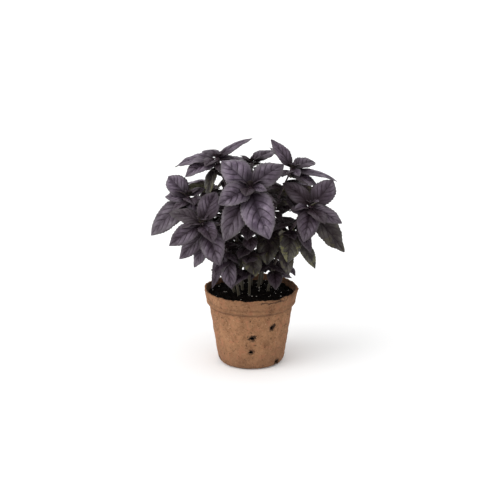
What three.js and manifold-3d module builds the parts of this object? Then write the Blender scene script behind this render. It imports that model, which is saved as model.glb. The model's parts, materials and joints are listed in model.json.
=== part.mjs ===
// A potted purple basil: a moulded fibre pot full of potting mix, nine stems and their leaves.
// Millimetres, +Z up, the pot's base centred on the origin, the front of the plant towards -Y.
import * as THREE from 'three';
import * as BufferGeometryUtils from 'three/addons/utils/BufferGeometryUtils.js';
import Module from 'manifold-3d';

const wasm = await Module();
wasm.setup();

// ---------------------------------------------------------------- driving dimensions
const CLEARANCE = 0.3; // air between pieces that touch

const POT_HEIGHT = 89.5;
const RIM_RADIUS = 55; // outside, at the top
const COLLAR_HEIGHT = 17.4; // the thick band round the rim
const COLLAR_BOTTOM_RADIUS = 51.4;
const BODY_TOP_RADIUS = 48.6; // just under the collar
const BODY_BOTTOM_RADIUS = 39.2; // where the bottom edge starts to round
const BOTTOM_ROUND = 6.5;
const WALL = 3;
const LIP_ROUND = 1.2;
const POT_SIDES = 48;
const PLUG_LENGTH = 24; // cuts a hole through the wall from outside
const PLUG_SIDES = 8;

const MIX_DEPTH = 7; // from the rim down to the potting mix
const MIX_TOP = POT_HEIGHT - MIX_DEPTH;

const STEM_START = MIX_TOP + 2 * CLEARANCE; // the slanted foot stays clear of the mix
const STEM_RADIUS = 1.7;
const STEM_SIDES = 8;
const STEM_STEPS = 10;
const STEM_LEAN = 0.2; // how far out the stem's control point lies
const STEM_LIFT = 0.6; // how far up the stem's control point lies

const LEAF_THICKNESS = 0.8;
const STALK_RADIUS = 0.8;
const TIP_RADIUS = 0.6;
const LEAF_STEPS = 8; // one for the stalk, the rest for the blade
const BLADE_FOLD = 0.16; // rise of the blade's edges over its midrib, per half width
const LEAF_BEND = 26; // degrees, from the stalk's start to the tip

// ---------------------------------------------------------------- small helpers
const radians = THREE.MathUtils.degToRad;
const group = new THREE.Group();

function addPiece(name, geometry, material) {
  const mesh = new THREE.Mesh(geometry, material.clone());
  mesh.name = name;
  group.add(mesh);
  return mesh;
}

function weld(geometry) {
  geometry.deleteAttribute('normal');
  geometry.deleteAttribute('uv');
  return BufferGeometryUtils.mergeVertices(geometry, 1e-4);
}

function toSolid(geometry) {
  const welded = weld(geometry);
  const vertProperties = new Float32Array(welded.attributes.position.array);
  const triVerts = new Uint32Array(welded.index.array);
  return new wasm.Manifold(new wasm.Mesh({ numProp: 3, vertProperties, triVerts }));
}

function toGeometry(solid) {
  const mesh = solid.getMesh();
  const geometry = new THREE.BufferGeometry();
  geometry.setAttribute('position', new THREE.BufferAttribute(mesh.vertProperties, 3));
  geometry.setIndex(new THREE.BufferAttribute(mesh.triVerts, 1));
  return geometry;
}

// Turns a profile of [radius, height] points, listed upwards along the outside, about +Z.
function lathe(profile, sides) {
  const points = profile.map(([radius, height]) => new THREE.Vector2(radius, height));
  const geometry = new THREE.LatheGeometry(points, sides);
  return geometry.rotateX(Math.PI / 2);
}

// Points of a quarter circle from one angle to another, about [radius, height].
function arc(centre, size, from, to, steps) {
  const points = [];
  for (let step = 0; step <= steps; step += 1) {
    const angle = radians(from + ((to - from) * step) / steps);
    points.push([centre[0] + size * Math.cos(angle), centre[1] + size * Math.sin(angle)]);
  }
  return points;
}

// ---------------------------------------------------------------- materials
const fibre = new THREE.MeshStandardMaterial({ color: 0xa67c5c, roughness: 0.95, metalness: 0 });
const mixMaterial = new THREE.MeshStandardMaterial({ color: 0x1c1613, roughness: 1, metalness: 0 });
const stemMaterial = new THREE.MeshStandardMaterial({ color: 0x4a4430, roughness: 0.7, metalness: 0 });
const youngLeaf = new THREE.MeshStandardMaterial({ color: 0x5d5166, roughness: 0.5, metalness: 0 });
const oldLeaf = new THREE.MeshStandardMaterial({ color: 0x4a4b3e, roughness: 0.55, metalness: 0 });

// ---------------------------------------------------------------- pot
const COLLAR_BOTTOM = POT_HEIGHT - COLLAR_HEIGHT;
const STEP_HEIGHT = 3; // the slope between the collar and the body
const FLOOR = WALL + 0.5;

function insideProfile(gap) {
  const roundSize = BOTTOM_ROUND - WALL;
  const bottomRadius = BODY_BOTTOM_RADIUS - WALL - gap;
  return [
    ...arc([bottomRadius - roundSize, FLOOR + roundSize + gap], roundSize, -90, -8, 3),
    [BODY_TOP_RADIUS - WALL - gap, COLLAR_BOTTOM - STEP_HEIGHT + gap / 2],
    [COLLAR_BOTTOM_RADIUS - WALL - gap, COLLAR_BOTTOM + gap / 2],
  ];
}

function outsideProfile() {
  return [
    ...arc([BODY_BOTTOM_RADIUS - BOTTOM_ROUND, BOTTOM_ROUND], BOTTOM_ROUND, -90, -8, 4),
    [BODY_TOP_RADIUS, COLLAR_BOTTOM - STEP_HEIGHT],
    [COLLAR_BOTTOM_RADIUS, COLLAR_BOTTOM],
    ...arc([RIM_RADIUS - LIP_ROUND, POT_HEIGHT - LIP_ROUND], LIP_ROUND, 10, 90, 2),
  ];
}

// An oval plug that passes through the wall at one height, on one heading.
function wallPlug({ heading, height, width, tall }) {
  const plug = new THREE.CylinderGeometry(width / 2, width / 2, PLUG_LENGTH, PLUG_SIDES);
  plug.rotateZ(Math.PI / 2);
  plug.scale(1, 1, tall / width);
  plug.translate(BODY_BOTTOM_RADIUS, 0, height);
  plug.rotateZ(radians(heading));
  return toSolid(plug);
}

// Small vents that lie where the fibre tore, and drain slots round the bottom edge.
const SIDE_HOLES = [
  { heading: -58, height: 52, width: 3.6, tall: 4.8 },
  { heading: -88, height: 41, width: 6, tall: 3.6 },
  { heading: -90, height: 23, width: 4.4, tall: 3.2 },
];
const EDGE_SLOTS = [-160, -40, 80];
const EDGE_SLOT = { width: 7, tall: 4.4, height: 5 };

function potGeometry() {
  const inside = insideProfile(0).reverse();
  const profile = [[0, 0], ...outsideProfile(), [RIM_RADIUS - WALL, POT_HEIGHT], ...inside, [0, FLOOR]];
  let pot = toSolid(lathe(profile, POT_SIDES));
  for (const hole of SIDE_HOLES) {
    pot = pot.subtract(wallPlug(hole));
  }
  for (const heading of EDGE_SLOTS) {
    pot = pot.subtract(wallPlug({ ...EDGE_SLOT, heading }));
  }
  return toGeometry(pot);
}
addPiece('pot', potGeometry(), fibre);

// ---------------------------------------------------------------- potting mix
function mixGeometry() {
  const slope = (RIM_RADIUS - COLLAR_BOTTOM_RADIUS) / COLLAR_HEIGHT;
  const topRadius = COLLAR_BOTTOM_RADIUS - WALL - CLEARANCE + slope * (MIX_TOP - COLLAR_BOTTOM);
  const bottom = FLOOR + CLEARANCE;
  const profile = [[0, bottom], ...insideProfile(CLEARANCE), [topRadius, MIX_TOP], [0, MIX_TOP]];
  return lathe(profile, POT_SIDES);
}
addPiece('potting_mix', mixGeometry(), mixMaterial);

// ---------------------------------------------------------------- stems
// foot is [x, y] on the potting mix, head is the top of the stem.
function stemCurve(foot, head) {
  const start = new THREE.Vector3(foot[0], foot[1], STEM_START);
  const end = new THREE.Vector3(...head);
  const reach = new THREE.Vector3().subVectors(end, start);
  const control = new THREE.Vector3(reach.x * STEM_LEAN, reach.y * STEM_LEAN, reach.z * STEM_LIFT);
  return new THREE.QuadraticBezierCurve3(start, control.add(start), end);
}

function stemGeometry(curve) {
  const section = new THREE.Shape();
  section.absarc(0, 0, STEM_RADIUS, 0, Math.PI * 2);
  const settings = { steps: STEM_STEPS, extrudePath: curve, curveSegments: STEM_SIDES / 2 };
  return weld(new THREE.ExtrudeGeometry(section, settings));
}

// ---------------------------------------------------------------- leaves
// Half width of the blade at a share of its length, as a share of the full half width.
function bladeOutline(share) {
  return 2.4 * share ** 0.52 * (1 - share) ** 0.78;
}

// A stalk and a pointed blade along +X with its upper face towards +Z: the blade is folded
// up a little on both sides of its midrib and bends down towards its tip.
function leafGeometry(length, stalk, width, bendAngle) {
  const geometry = new THREE.BoxGeometry(1, 2, 2, LEAF_STEPS, 2, 1);
  const positions = geometry.attributes.position;
  const bend = radians(bendAngle);
  const bendRadius = length / (2 * Math.sin(bend / 2));
  for (let index = 0; index < positions.count; index += 1) {
    const column = Math.round((positions.getX(index) + 0.5) * LEAF_STEPS);
    const side = positions.getY(index);
    const face = positions.getZ(index);
    const share = Math.max(0, (column - 1) / (LEAF_STEPS - 1));
    const along = column === 0 ? 0 : stalk + (length - stalk) * share;
    const narrowest = column === 0 ? STALK_RADIUS : TIP_RADIUS;
    const halfWidth = Math.max((width / 2) * bladeOutline(share), narrowest);
    const halfThick = column < 2 ? STALK_RADIUS : LEAF_THICKNESS / 2;
    const lift = halfWidth * Math.abs(side) * BLADE_FOLD + face * halfThick;
    const slope = bend * (0.5 - along / length);
    const x = bendRadius * (Math.sin(bend / 2) - Math.sin(slope)) - Math.sin(slope) * lift;
    const z = bendRadius * (Math.cos(slope) - Math.cos(bend / 2)) + Math.cos(slope) * lift;
    positions.setXYZ(index, x, side * halfWidth, z);
  }
  return weld(geometry);
}

// The unit vector that points along a compass heading and rises by an angle, both in degrees.
function direction(heading, rise) {
  const level = Math.cos(radians(rise));
  const x = level * Math.cos(radians(heading));
  const y = level * Math.sin(radians(heading));
  return new THREE.Vector3(x, y, Math.sin(radians(rise)));
}

function addLeaf(name, curve, shoot, leaf) {
  const node = curve.getPoint(leaf.at);
  const upStem = curve.getTangent(leaf.at);
  const along = direction(leaf.heading, leaf.rise);
  const facing = new THREE.Vector3(...(leaf.facing ?? shoot.facing));
  const across = new THREE.Vector3().crossVectors(facing, along).normalize();
  const upper = new THREE.Vector3().crossVectors(along, across);
  const skew = Math.abs(along.dot(upStem));
  const offset = (STEM_RADIUS + CLEARANCE + STALK_RADIUS * skew) / Math.sqrt(1 - skew * skew);
  const geometry = leafGeometry(leaf.reach - offset, leaf.stalk, leaf.width, leaf.bend ?? LEAF_BEND);
  const mesh = addPiece(name, geometry, leaf.old ? oldLeaf : youngLeaf);
  mesh.position.copy(node).addScaledVector(along, offset);
  mesh.setRotationFromMatrix(new THREE.Matrix4().makeBasis(along, across, upper));
}

// `foot` is [x, y] on the potting mix and `head` the top of the stem. Leaves are listed from the
// head down: `at` is the place along the stem from 0 at the foot to 1 at the head, `heading` the
// compass direction seen from above (0 is +X, 90 is +Y), `rise` the angle over level, and `reach`
// the length from the stem's axis to the leaf's tip. `facing` is the way the upper faces look:
// a shoot turns them towards its light, and a leaf may have one of its own.
const SHOOTS = {
  a: {
    foot: [-10, 10],
    head: [-39, 8, 241],
    facing: [-0.1, -0.3, 1],
    leaves: [
      { at: 1, heading: 22, rise: 25, reach: 48, stalk: 6, width: 20, bend: 8, facing: [0, -0.15, 1] },
      {
        at: 1, heading: 172, rise: -12, reach: 50, stalk: 8, width: 24, bend: 18,
        facing: [-0.1, -0.12, 1],
      },
      { at: 1, heading: 115, rise: 4, reach: 34, stalk: 6, width: 18 },
      { at: 0.97, heading: -160, rise: -20, reach: 42, stalk: 10, width: 24 },
      {
        at: 0.96, heading: -125, rise: -60, reach: 42, stalk: 8, width: 19,
        facing: [-0.7, -0.6, 0.3], old: true,
      },
      { at: 0.98, heading: 8, rise: -10, reach: 38, stalk: 10, width: 22 },
    ],
  },
  b: {
    foot: [-2, -8],
    head: [-1, -35, 218],
    facing: [0, -0.85, 0.6],
    leaves: [
      { at: 1, heading: 150, rise: 34, reach: 45, stalk: 4, width: 34, bend: 18 },
      { at: 1, heading: 24, rise: 28, reach: 47, stalk: 5, width: 29, bend: 16 },
      { at: 1, heading: -150, rise: -20, reach: 43, stalk: 6, width: 28 },
      { at: 0.97, heading: -58, rise: -50, reach: 62, stalk: 12, width: 38 },
      { at: 0.92, heading: -130, rise: -46, reach: 64, stalk: 24, width: 30 },
      { at: 0.38, heading: -72, rise: -48, reach: 36, stalk: 10, width: 22, old: true },
    ],
  },
  c: {
    foot: [9, 18],
    head: [47, 5, 229],
    facing: [0.1, -0.4, 0.9],
    leaves: [
      { at: 1, heading: 150, rise: 48, reach: 42, stalk: 5, width: 17, bend: 16, facing: [0.3, -0.8, 0.5] },
      { at: 1, heading: 42, rise: 4, reach: 38, stalk: 8, width: 18 },
      { at: 0.98, heading: 8, rise: -13, reach: 56, stalk: 12, width: 20, facing: [0.1, -0.2, 1] },
      { at: 0.96, heading: -12, rise: -24, reach: 37, stalk: 8, width: 17 },
      {
        at: 0.48, heading: -96, rise: -52, reach: 50, stalk: 14, width: 28,
        facing: [0, -0.9, 0.5], old: true,
      },
    ],
  },
  d: {
    foot: [20, 4],
    head: [68, -20, 192],
    facing: [0.15, -0.85, 0.55],
    leaves: [
      { at: 1, heading: 40, rise: 37, reach: 43, stalk: 4, width: 27, bend: 18 },
      { at: 1, heading: 160, rise: 35, reach: 42, stalk: 5, width: 22, bend: 20 },
      { at: 1, heading: -110, rise: -52, reach: 44, stalk: 6, width: 27 },
      { at: 1, heading: -15, rise: -26, reach: 40, stalk: 5, width: 18, bend: 16 },
      {
        at: 0.94, heading: -6, rise: -48, reach: 65, stalk: 20, width: 32, bend: 20,
        facing: [0.4, -0.7, 0.4],
      },
      { at: 0.72, heading: -105, rise: -52, reach: 45, stalk: 12, width: 26, old: true },
      { at: 0.7, heading: 0, rise: -61, reach: 57, stalk: 26, width: 16, bend: 20, old: true },
      { at: 0.76, heading: -40, rise: -56, reach: 38, stalk: 10, width: 18, facing: [0.5, -0.7, 0.4] },
    ],
  },
  e: {
    foot: [-20, 2],
    head: [-72, -8, 200],
    facing: [-0.1, -0.75, 0.7],
    leaves: [
      { at: 1, heading: 138, rise: 32, reach: 37, stalk: 4, width: 24, bend: 18 },
      { at: 1, heading: -40, rise: -30, reach: 30, stalk: 5, width: 22 },
      { at: 0.97, heading: 172, rise: 2, reach: 29, stalk: 5, width: 17 },
      { at: 0.96, heading: -175, rise: -42, reach: 62, stalk: 16, width: 28, facing: [-0.5, -0.7, 0.6] },
    ],
  },
  f: {
    foot: [-14, -12],
    head: [-54, -48, 180],
    facing: [-0.05, -0.85, 0.6],
    leaves: [
      { at: 1, heading: -162, rise: -30, reach: 45, stalk: 5, width: 22, bend: 20 },
      { at: 1, heading: 55, rise: 50, reach: 40, stalk: 5, width: 25 },
      { at: 1, heading: 158, rise: 12, reach: 42, stalk: 6, width: 21, facing: [-0.1, -0.5, 0.9] },
      { at: 0.92, heading: -62, rise: -50, reach: 47, stalk: 9, width: 28 },
      { at: 0.9, heading: -178, rise: -47, reach: 49, stalk: 12, width: 20, bend: 16 },
      { at: 0.72, heading: -110, rise: -72, reach: 56, stalk: 26, width: 13, facing: [0.5, -0.8, 0] },
      { at: 0.52, heading: -66, rise: -66, reach: 42, stalk: 14, width: 19 },
    ],
  },
  h: {
    foot: [0, 26],
    head: [1, 42, 228],
    facing: [0, -0.3, 1],
    leaves: [
      { at: 1, heading: 38, rise: 14, reach: 38, stalk: 6, width: 24 },
      { at: 0.97, heading: 98, rise: -14, reach: 46, stalk: 8, width: 30, facing: [0, 0.5, 0.8] },
      { at: 0.86, heading: 150, rise: -38, reach: 52, stalk: 12, width: 30, facing: [-0.3, 0.8, 0.5] },
      {
        at: 0.72, heading: -4, rise: -6, reach: 54, stalk: 16, width: 29,
        facing: [0, -0.75, 0.6], old: true,
      },
    ],
  },
  i: {
    foot: [-12, 24],
    head: [-45, 60, 188],
    facing: [-0.3, 0.5, 0.8],
    leaves: [
      { at: 1, heading: 128, rise: 6, reach: 48, stalk: 7, width: 30 },
      { at: 1, heading: -150, rise: 12, reach: 44, stalk: 7, width: 26 },
      { at: 1, heading: 50, rise: 14, reach: 44, stalk: 7, width: 27 },
      { at: 0.9, heading: 150, rise: -36, reach: 56, stalk: 14, width: 30 },
    ],
  },
  j: {
    foot: [12, 30],
    head: [46, 62, 184],
    facing: [0.3, 0.5, 0.8],
    leaves: [
      { at: 1, heading: 52, rise: 8, reach: 50, stalk: 7, width: 31 },
      { at: 1, heading: -25, rise: 10, reach: 42, stalk: 7, width: 25 },
      { at: 1, heading: 130, rise: 12, reach: 42, stalk: 7, width: 27 },
      { at: 0.9, heading: 20, rise: -38, reach: 54, stalk: 14, width: 30 },
      {
        at: 0.62, heading: 75, rise: -44, reach: 50, stalk: 14, width: 28,
        facing: [0, 0.8, 0.5], old: true,
      },
    ],
  },
};

for (const [letter, shoot] of Object.entries(SHOOTS)) {
  const curve = stemCurve(shoot.foot, shoot.head);
  addPiece(`stem_${letter}`, stemGeometry(curve), stemMaterial);
  shoot.leaves.forEach((leaf, index) => addLeaf(`leaf_${letter}${index + 1}`, curve, shoot, leaf));
}

export default group;
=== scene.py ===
# %% [markdown]
# # A potted purple basil
# A basil plant with purple leaves stands in a pot of moulded wood fibre. The CAD model holds
# the real sizes: where each stem rises, where each leaf is joined, and the pot's wall. This
# lesson dresses that frame. Every piece reads its place from a CAD piece, so nothing has to
# be fitted by eye afterwards.

# %% Load the frame
import json
import math

import bmesh
import bpy
import numpy as np
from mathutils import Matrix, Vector, noise


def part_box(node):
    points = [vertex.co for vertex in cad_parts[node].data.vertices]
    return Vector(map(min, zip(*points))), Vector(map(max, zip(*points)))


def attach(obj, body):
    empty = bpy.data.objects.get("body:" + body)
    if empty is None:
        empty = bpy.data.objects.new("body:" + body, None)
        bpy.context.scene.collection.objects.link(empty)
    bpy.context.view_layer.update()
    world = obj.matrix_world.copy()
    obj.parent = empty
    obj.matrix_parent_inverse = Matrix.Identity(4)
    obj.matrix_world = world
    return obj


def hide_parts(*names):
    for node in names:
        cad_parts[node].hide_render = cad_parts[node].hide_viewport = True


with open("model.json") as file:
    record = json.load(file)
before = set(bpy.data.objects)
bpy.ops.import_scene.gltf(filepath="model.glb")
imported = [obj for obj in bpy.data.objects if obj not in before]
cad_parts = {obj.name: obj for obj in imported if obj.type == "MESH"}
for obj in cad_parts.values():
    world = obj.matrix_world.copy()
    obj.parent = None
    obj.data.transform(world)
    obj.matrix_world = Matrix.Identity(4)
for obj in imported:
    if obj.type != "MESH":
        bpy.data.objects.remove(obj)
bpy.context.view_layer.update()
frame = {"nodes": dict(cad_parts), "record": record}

MM = 0.001
nodes = frame["nodes"]

# %% [markdown]
# ## Camera
# A plant on a table is seen from a little above. The camera stands about 1.4 m away and looks
# down at the middle of the plant, so the pot's mouth shows as a flat ellipse. A narrow view
# keeps the pot's sides straight. Nothing is blurred by focus.

# %% Camera
scene = bpy.context.scene
camera_data = bpy.data.cameras.new("camera")
camera_data.angle = math.radians(23)
camera_data.clip_start = 0.05
camera = bpy.data.objects.new("camera", camera_data)
camera.location = (-0.0012, -1.363, 0.542)
camera_aim = Vector((-0.0012, 0, 0.134))
camera.rotation_euler = (camera_aim - camera.location).to_track_quat("-Z", "Y").to_euler()
scene.collection.objects.link(camera)
scene.camera = camera

# %% [markdown]
# ## Floor and light
# The plant stands on a pale floor under soft studio light. A white sky fills the shadows from
# every side, a broad lamp overhead gives the leaves their sheen, and a low one at the left in
# front gives the pot its bright and dark side. Broad lamps are used because their shadows have
# soft edges, and far ones because they light the whole floor evenly.

# %% Floor and light
FLOOR_SIDE = 40.0


def add_floor():
    mesh = bpy.data.meshes.new("floor")
    half = FLOOR_SIDE / 2
    corners = [(-half, -half, 0), (half, -half, 0), (half, half, 0), (-half, half, 0)]
    mesh.from_pydata(corners, [], [(0, 1, 2, 3)])
    floor = bpy.data.objects.new("floor", mesh)
    scene.collection.objects.link(floor)
    material = bpy.data.materials.new("floor")
    material.use_nodes = True
    shader = material.node_tree.nodes["Principled BSDF"]
    shader.inputs["Base Color"].default_value = (0.93, 0.93, 0.93, 1)
    shader.inputs["Roughness"].default_value = 0.9
    shader.inputs["Specular IOR Level"].default_value = 0.1
    mesh.materials.append(material)


def add_lamp(name, place, softness, strength):
    """A far lamp at this place, aimed at the plant; softness is its breadth in degrees."""
    data = bpy.data.lights.new(name, "SUN")
    data.angle = math.radians(softness)
    data.energy = strength
    lamp = bpy.data.objects.new(name, data)
    lamp.location = place
    aim = camera_aim - Vector(place)
    lamp.rotation_euler = aim.to_track_quat("-Z", "Y").to_euler()
    scene.collection.objects.link(lamp)


add_floor()
add_lamp("side_lamp", (-1.9, -0.8, 0.8), 50, 1.75)
add_lamp("top_lamp", (-0.7, -0.45, 2.0), 70, 0.5)
world = bpy.data.worlds.new("white_sky")
world.use_nodes = True
sky = world.node_tree.nodes["Background"]
sky.inputs["Color"].default_value = (1, 1, 1, 1)
sky.inputs["Strength"].default_value = 1.0
scene.world = world
scene.view_settings.view_transform = "Standard"

# %% [markdown]
# ## A small language for finishes
# A finish is a tree of nodes that works out a colour, a roughness and a bump for each spot of a
# surface. Written node by node, such a tree hides its own sums. `Wire` wraps one output so that
# plain Python sums on numbers add their Math nodes, and `Finish.node` makes any other node.

# %% Wires


class Wire:
    """One number, colour or vector on its way between two nodes."""

    def __init__(self, finish, socket):
        self.finish = finish
        self.socket = socket

    def sum(self, operation, *values, clamp=False):
        settings = {"operation": operation, "use_clamp": clamp}
        return self.finish.node("ShaderNodeMath", settings, dict(enumerate(values)))

    def __add__(self, other):
        return self.sum("ADD", self, other)

    def __sub__(self, other):
        return self.sum("SUBTRACT", self, other)

    def __rsub__(self, other):
        return self.sum("SUBTRACT", other, self)

    def __mul__(self, other):
        return self.sum("MULTIPLY", self, other)

    def __pow__(self, other):
        return self.sum("POWER", self, other)

    def __abs__(self):
        return self.sum("ABSOLUTE", self)

    __radd__ = __add__
    __rmul__ = __mul__

    def fraction(self):
        return self.sum("FRACT", self)

    def at_least(self, other):
        return self.sum("MAXIMUM", self, other)

    def clamped(self):
        return self.sum("ADD", self, 0.0, clamp=True)

    def step(self, low, high):
        """0 below low, 1 above high, and a smooth way between."""
        settings = {"interpolation_type": "SMOOTHSTEP", "clamp": True}
        return self.finish.node("ShaderNodeMapRange", settings, {0: self, 1: low, 2: high})

# %% [markdown]
# ## Patterns and paint
# `Finish` holds one material and has a method for each kind of pattern that the plant needs. So
# a layer of colour reads as one line: how much of which paint, and where.

# %% Finish


class Finish:
    """A material whose Principled shader is fed by wires."""

    def __init__(self, name):
        self.material = bpy.data.materials.new(name)
        self.material.use_nodes = True
        self.tree = self.material.node_tree
        self.shader = self.tree.nodes["Principled BSDF"]

    def node(self, kind, settings, sockets, output=0):
        made = self.tree.nodes.new(kind)
        for key, value in settings.items():
            setattr(made, key, value)
        self.feed(made, sockets)
        return Wire(self, made.outputs[output])

    def feed(self, made, sockets):
        for key, value in sockets.items():
            if isinstance(value, Wire):
                self.tree.links.new(value.socket, made.inputs[key])
            else:
                made.inputs[key].default_value = value

    def place(self):
        """The spot on the object, in metres from the pot's base."""
        return self.node("ShaderNodeTexCoord", {}, {}, "Object")

    def parts(self, vector):
        split = self.node("ShaderNodeSeparateXYZ", {}, {0: vector}).socket.node
        return [Wire(self, socket) for socket in split.outputs]

    def stretched(self, vector, scale):
        return self.node("ShaderNodeMapping", {}, {"Vector": vector, "Scale": scale})

    def attribute(self, name):
        return self.node("ShaderNodeAttribute", {"attribute_name": name}, {}, "Fac")

    def grain(self, vector, size, detail=3.0, roughness=0.55, distortion=0.0):
        """Soft noise from 0 to 1 whose lumps are about size metres across."""
        sockets = {
            "Vector": vector,
            "Scale": 1 / size,
            "Detail": detail,
            "Roughness": roughness,
            "Distortion": distortion,
        }
        return self.node("ShaderNodeTexNoise", {}, sockets)

    def cells(self, vector, size, feature="F1"):
        """Distance inside a pattern of cells about size metres across."""
        sockets = {"Vector": vector, "Scale": 1 / size}
        return self.node("ShaderNodeTexVoronoi", {"feature": feature}, sockets, "Distance")

    def mix(self, amount, low, high):
        """The colour low where amount is 0 and high where it is 1."""
        return self.node("ShaderNodeMix", {"data_type": "RGBA"}, {0: amount, 6: low, 7: high}, 2)

    def bump(self, height, distance, strength=1.0):
        sockets = {"Height": height, "Distance": distance, "Strength": strength}
        return self.node("ShaderNodeBump", {}, sockets)

    def surface(self, **sockets):
        """Feeds the shader: words such as base_color stand for its Base Color socket."""
        self.feed(self.shader, {key.replace("_", " ").title(): wire for key, wire in sockets.items()})
        return self.material


def paint(red, green, blue):
    """A colour from the 0 to 255 numbers of a paint chart, as the light values that nodes use."""
    chart = np.array([red, green, blue]) / 255
    light = np.where(chart <= 0.04045, chart / 12.92, ((chart + 0.055) / 1.055) ** 2.4)
    return (*light.tolist(), 1.0)


# %% [markdown]
# ## Leaf finish
# A purple basil leaf is dark violet with a grey bloom. It is almost black at its base and in its
# veins, greyer towards its edge, and its rim is a thin pale line. Old leaves low on the plant
# have gone olive, with yellow patches. Each leaf carries its own chart: `blade` runs across and
# along it, so one finish can draw the same midrib and curved side veins on every leaf. The
# attributes `age` and `seed` then make each leaf different.

# %% Leaf colours


def vein_marks(side, along, spine):
    """The painted shade of the soft valleys round the side veins, and the side veins together with the
    midrib.
    """
    to_vein = abs((spine + 0.5).fraction() - 0.5)
    inner = (1 - side.step(0.45, 0.98)) * (1 - along.step(0.65, 0.97))
    side_vein = (1 - to_vein.step(0.02, 0.13)) * inner
    # Painted shade in the soft valleys round the side veins.
    valley_shade = (1 - to_vein.step(0.0, 0.34)) * inner
    midrib = (1 - side.step(0.015, 0.075)) * (1 - 0.7 * along)
    return valley_shade, side_vein.at_least(midrib)


def young_flesh(finish, mottle, valley_shade, side, along, seed):
    """Violet panels between the veins, darker in the valleys round them as painted shade, greyer towards the
    edge and the tip.
    """
    violet = finish.mix(mottle.step(0.3, 0.72), paint(66, 52, 70), paint(122, 107, 125))
    # Painted shade in the valleys round the side veins.
    violet = finish.mix(valley_shade * 0.36, violet, paint(44, 31, 45))
    edge_grey = side.step(0.4, 1.0) * 0.5 + along.step(0.55, 1.0) * 0.45 + seed * 0.3 - 0.15
    return finish.mix(edge_grey.clamped(), violet, paint(84, 79, 82))


def old_flesh(finish, place, mottle, side, along, age):
    """Olive with yellow patches, more of them towards the tip."""
    olive = finish.mix(mottle.step(0.35, 0.7), paint(36, 34, 27), paint(66, 62, 48))
    blotch = finish.grain(place, 0.007, 3, 0.6, 0.6) + 0.1 * side + 0.1 * along - 0.07
    patch = blotch.step(0.58, 0.7) * age.step(0.4, 0.95)
    return finish.mix(patch * 0.75, olive, paint(104, 102, 58))


def underside(finish, place, mottle, vein, age, shade):
    """Pale olive with a purple flush and light ribs, darker where shade is painted."""
    pale = finish.mix(mottle.step(0.3, 0.7), paint(80, 80, 62), paint(106, 103, 78))
    flushed = finish.grain(place, 0.017, 2).step(0.4, 0.62) * (1 - 0.6 * age)
    back = finish.mix(flushed.clamped(), pale, paint(58, 46, 54))
    back = finish.mix(vein * 0.6, back, paint(106, 96, 80))
    # Painted shade on the underside, stronger where the shade mark is high.
    return finish.mix(shade * 0.4 + shade.step(0.6, 0.7) * 0.5, back, paint(36, 22, 30))

# %% [markdown]
# ## The whole skin of a leaf
# The layers go on from the flesh outwards: a net of fine veins, the grey bloom, the dark base
# and a darker middle, partly painted shade in the fold, the side veins, the pale rim and painted
# shade for leaves that lie in the shadow of others or deep in the crown. The underside and the
# stalk come last. The shine is a thin coat that fades on veins, in the dark middle of the leaf
# and where shade is painted.

# %% Leaf finish


def leaf_finish(name):
    finish = Finish(name)
    place = finish.place()
    chart = finish.node("ShaderNodeUVMap", {"uv_map": "blade"}, {})
    across, along, _ = finish.parts(chart)
    marks = ("age", "seed", "under", "stalk", "shade", "spine")
    age, seed, under, stalk, shade, spine = (finish.attribute(mark) for mark in marks)
    side = abs(across * 2 - 1)
    valley_shade, vein = vein_marks(side, along, spine)
    mottle = finish.grain(place, 0.011, 4)
    fine = finish.grain(place, 0.0021, 3, 0.6)
    net = finish.cells(place, 0.0017, "DISTANCE_TO_EDGE").step(0.0, 0.16)

    young = young_flesh(finish, mottle, valley_shade, side, along, seed)
    old = old_flesh(finish, place, mottle, side, along, age)
    flesh = finish.mix(age.step(0.2, 0.85), young, old)
    flesh = finish.mix((1 - net) * 0.22, flesh, paint(28, 18, 28))
    flesh = finish.mix(fine.step(0.35, 0.75) * 0.14, flesh, paint(110, 100, 110))
    root = (1 - along.step(0.06, 0.5)) * (1 - 0.3 * side.step(0.4, 1.0))
    # A darker middle along the midrib: partly the leaf's own colour, partly painted shade in its fold.
    heart_and_fold_shade = (1 - side.step(0.03, 0.6)) * (1 - along.step(0.35, 1.0)) * 0.6
    dark = root.at_least(heart_and_fold_shade)
    flesh = finish.mix(dark * 0.97, flesh, paint(20, 9, 19))
    flesh = finish.mix((seed - 0.4).clamped() * 0.5, flesh, paint(38, 26, 31))
    flesh = finish.mix(vein * 0.8, flesh, paint(26, 13, 26))
    rim = side.step(0.93, 0.99) * (1 - along.step(0.85, 1.0))
    flesh = finish.mix(rim * 0.4, flesh, paint(104, 101, 92))
    # Painted shade: darker on leaves in the shadow of others and deep in the crown.
    flesh = finish.mix(shade * 0.85, flesh, paint(31, 17, 18))
    back = underside(finish, place, mottle, vein, age, shade)
    skin = finish.mix(under, flesh, back)
    skin = finish.mix(stalk, skin, finish.mix(age, paint(40, 23, 34), paint(78, 76, 48)))

    height = 0.6 * (1 - vein) + 0.22 * net + 0.18 * fine
    gloss = (1 - dark) * (1 - 0.8 * vein) * (1 - 0.6 * under) * (1 - 0.7 * shade)
    finish.shader.inputs["Specular IOR Level"].default_value = 0.16
    finish.shader.inputs["Coat Roughness"].default_value = 0.33
    return finish.surface(
        base_color=skin,
        roughness=0.5 + 0.16 * mottle,
        coat_weight=gloss.clamped() * (0.15 + 0.7 * mottle.step(0.35, 0.7)),
        normal=finish.bump(height, 0.00042, 0.85),
    )


leaf_skin = {"young_leaf": leaf_finish("young_leaf"), "old_leaf": leaf_finish("old_leaf")}
print("leaf finishes:", sorted(leaf_skin))

# %% [markdown]
# ## Stem paths
# Each stem rises from the mix, leans out and carries pairs of leaves. The CAD stem is a plain
# tube made of rings. The middles of its rings are the path that the finer stem follows, and the
# line that every leaf stalk starts from.

# %% Stem paths
STEM_LETTERS = "abcdefhij"
CAD_STEM_SIDES = 8


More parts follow.
